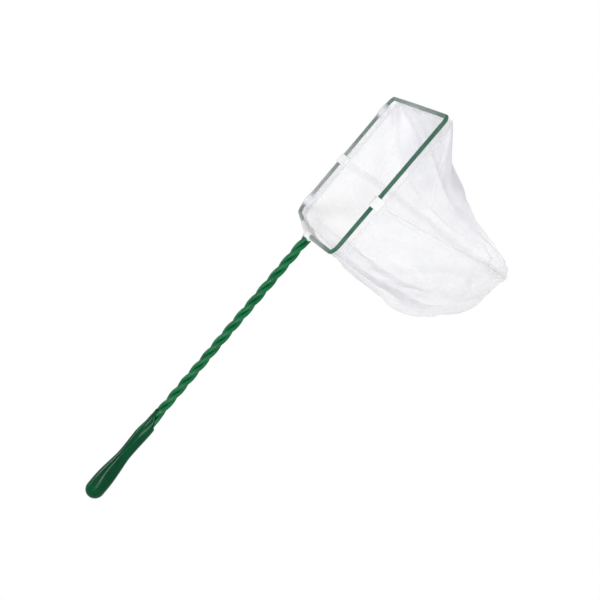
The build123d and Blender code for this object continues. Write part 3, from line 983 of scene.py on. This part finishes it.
def wrap(name, node, line, radius, drop, pleat, seed, swell=lambda p: 1.0):
    """A cuff along a line of the wire, with pleats. It swells where there is more inside."""
    line = np.array(line)
    profile = wrap_profile(radius, drop)
    n, verts, uv, sheer = len(profile), [], [], []
    along = lengths_along(line)
    for d, p, w in zip(along, line, unit_rows(np.gradient(line, axis=0))):
        out = unit(vec(w[1], -w[0], 0))
        pinch = 1 - 0.06 * (abs(2 * d / along[-1] - 1) ** 4)
        for k, (a, b) in enumerate(profile):
            fold = 1 + pleat * wobble(vec(d * 1.3, 1.4 * k, 0), 2.2, seed)
            ragged = 1.5 * pleat * wobble(vec(d, 0, 5), 1.5, seed + 3) if k in (0, n - 1) else 0
            full = fold * pinch * swell(p)
            verts.append(p + out * a * full + vec(0, 0, b * (full if b > -2 else 1) + ragged))
            uv.append((d, 1.1 * k))
            sheer.append(CUFF_COVER)
    cuff = add_mesh(name, verts, strip(len(line), n, False), doubled_mesh, uv=uv, sheer=sheer, subdivide=1)
    layers = cuff.modifiers.new("layers", "SOLIDIFY")
    layers.thickness = CUFF_THICK * MM
    layers.offset = 0
    return stand_for(cuff, node)


def seam_cuff(name, node, centre, seed):
    steps = [CUFF_LENGTH * (i / CUFF_STEPS - 0.5) for i in range(CUFF_STEPS + 1)]
    line = [centre + vec(step, 0, 0) for step in steps]
    return wrap(name, node, line, CUFF_R, CUFF_DROP, CUFF_PLEAT, seed)


def neck_swell(p):
    """The neck's cuff is wide over the vee and tight on the right leg."""
    return np.interp(p[1], (-6, -4.5, -1.5, 2, 7), (0.76, 0.85, 1.5, 1.5, 1.0))


left_centre, right_centre = vec(X_MIDDLE + SEAM_LEFT, HALF, 0), vec(X_MIDDLE + SEAM_RIGHT, -HALF, 0)
cuff_left = seam_cuff("seam_cuff_left_cloth", "seam_cuff_left", left_centre, 1.2)
cuff_right = seam_cuff("seam_cuff_right_cloth", "seam_cuff_right", right_centre, 3.9)

neck_bend = vec(X_VEE + 0.3, 0, 0)
neck_ends = level_on(neck_bend, near_right, NECK_RIGHT), level_on(neck_bend, near_left, NECK_LEFT)
neck_line = resample(rounded([neck_ends[0], neck_bend, neck_ends[1]], [NECK_R]), 0.6)
cuff_neck = wrap(
    "neck_cuff_cloth", "neck_cuff", neck_line,
    NECK_CUFF_R, NECK_CUFF_DROP, NECK_CUFF_PLEAT, 7.7, neck_swell,
)


# Stage and background, in metres
FLOOR_REACH, FLOOR_Z = 4, -0.32
AMBIENT = 0.27  # strength of the white world for the rays that light the net


def seen_rays(nodes, links):
    """1 for the rays that show the background: to the camera, in a reflection or through glass."""
    path = nodes.new("ShaderNodeLightPath")
    rays = path.outputs
    seen = math_node(nodes, links, "MAXIMUM", rays["Is Camera Ray"], rays["Is Transmission Ray"])
    return math_node(nodes, links, "MAXIMUM", seen, rays["Is Glossy Ray"])


def flat_white(name):
    """A pale floor that looks pure white where it is seen."""
    m, nodes, links, bsdf = new_material(name)
    bsdf.inputs["Base Color"].default_value = (0.86, 0.86, 0.86, 1)
    bsdf.inputs["Roughness"].default_value = 0.9
    bsdf.inputs["Specular IOR Level"].default_value = 0.1
    white = nodes.new("ShaderNodeEmission")
    white.inputs["Color"].default_value = (1, 1, 1, 1)
    mix = nodes.new("ShaderNodeMixShader")
    links.new(seen_rays(nodes, links), mix.inputs[0])
    links.new(bsdf.outputs[0], mix.inputs[1])
    links.new(white.outputs[0], mix.inputs[2])
    links.new(mix.outputs[0], nodes["Material Output"].inputs["Surface"])
    return m


floor_corners = [(x * FLOOR_REACH, y * FLOOR_REACH, FLOOR_Z) for x, y in ((-1, -1), (1, -1), (1, 1), (-1, 1))]
floor_mesh = bpy.data.meshes.new("floor")
floor_mesh.from_pydata(floor_corners, [], [(0, 1, 2, 3)])
floor_mesh.materials.append(flat_white("pale_floor"))
floor = bpy.data.objects.new("floor", floor_mesh)
scene.collection.objects.link(floor)

world = bpy.data.worlds.new("studio")
scene.world = world
world.use_nodes = True
nodes, links = world.node_tree.nodes, world.node_tree.links
strength = math_node(nodes, links, "MAXIMUM", seen_rays(nodes, links), AMBIENT)
nodes["Background"].inputs["Color"].default_value = (1, 1, 1, 1)
links.new(strength, nodes["Background"].inputs["Strength"])


# Camera, fitted to the mouth and the handle in the photograph
CAMERA_AT = (0.18228, -0.45459, 0.12643)
CAMERA_RIGHT = vec(0.64344, -0.15158, -0.75033)
CAMERA_DOWN = vec(-0.75456, -0.29069, -0.58834)
CAMERA_AHEAD = vec(-0.12893, 0.94473, -0.30142)
FOCAL_PIXELS, PHOTO_PIXELS = 927.30, 600.0
SENSOR = 36.0

camera_data = bpy.data.cameras.new("camera")
camera_data.sensor_width = SENSOR
camera_data.lens = FOCAL_PIXELS * SENSOR / PHOTO_PIXELS
camera_data.clip_start, camera_data.clip_end = 0.01, 20
camera = bpy.data.objects.new("camera", camera_data)
turn = Matrix((CAMERA_RIGHT, -CAMERA_DOWN, -CAMERA_AHEAD)).transposed().to_4x4()
camera.matrix_world = Matrix.Translation(CAMERA_AT) @ turn
scene.collection.objects.link(camera)
scene.camera = camera
scene.view_settings.view_transform = "Standard"

# Lamps
LAMP_TARGET = vec(0.12, 0, -0.02)


def lamp(name, way, distance, size, power):
    """A square lamp at a way from the middle of the net, given in the camera's right, up and back."""
    right, up, back = way
    at = LAMP_TARGET + distance * unit(right * CAMERA_RIGHT - up * CAMERA_DOWN - back * CAMERA_AHEAD)
    data = bpy.data.lights.new(name, "AREA")
    data.shape = "RECTANGLE"
    data.size = data.size_y = size
    data.energy = power
    obj = bpy.data.objects.new(name, data)
    obj.location = tuple(at)
    obj.rotation_mode = "QUATERNION"
    obj.rotation_quaternion = Vector(tuple(LAMP_TARGET - at)).to_track_quat("-Z", "Y")
    scene.collection.objects.link(obj)


lamp("front", (-0.26, -0.36, 0.94), distance=1.03, size=0.2, power=7.2)
lamp("side", (-0.9, 0.3, 0.05), distance=0.95, size=0.2, power=3.6)
lamp("back", (0.6, 0.75, 0.3), distance=1.1, size=0.5, power=3.4)
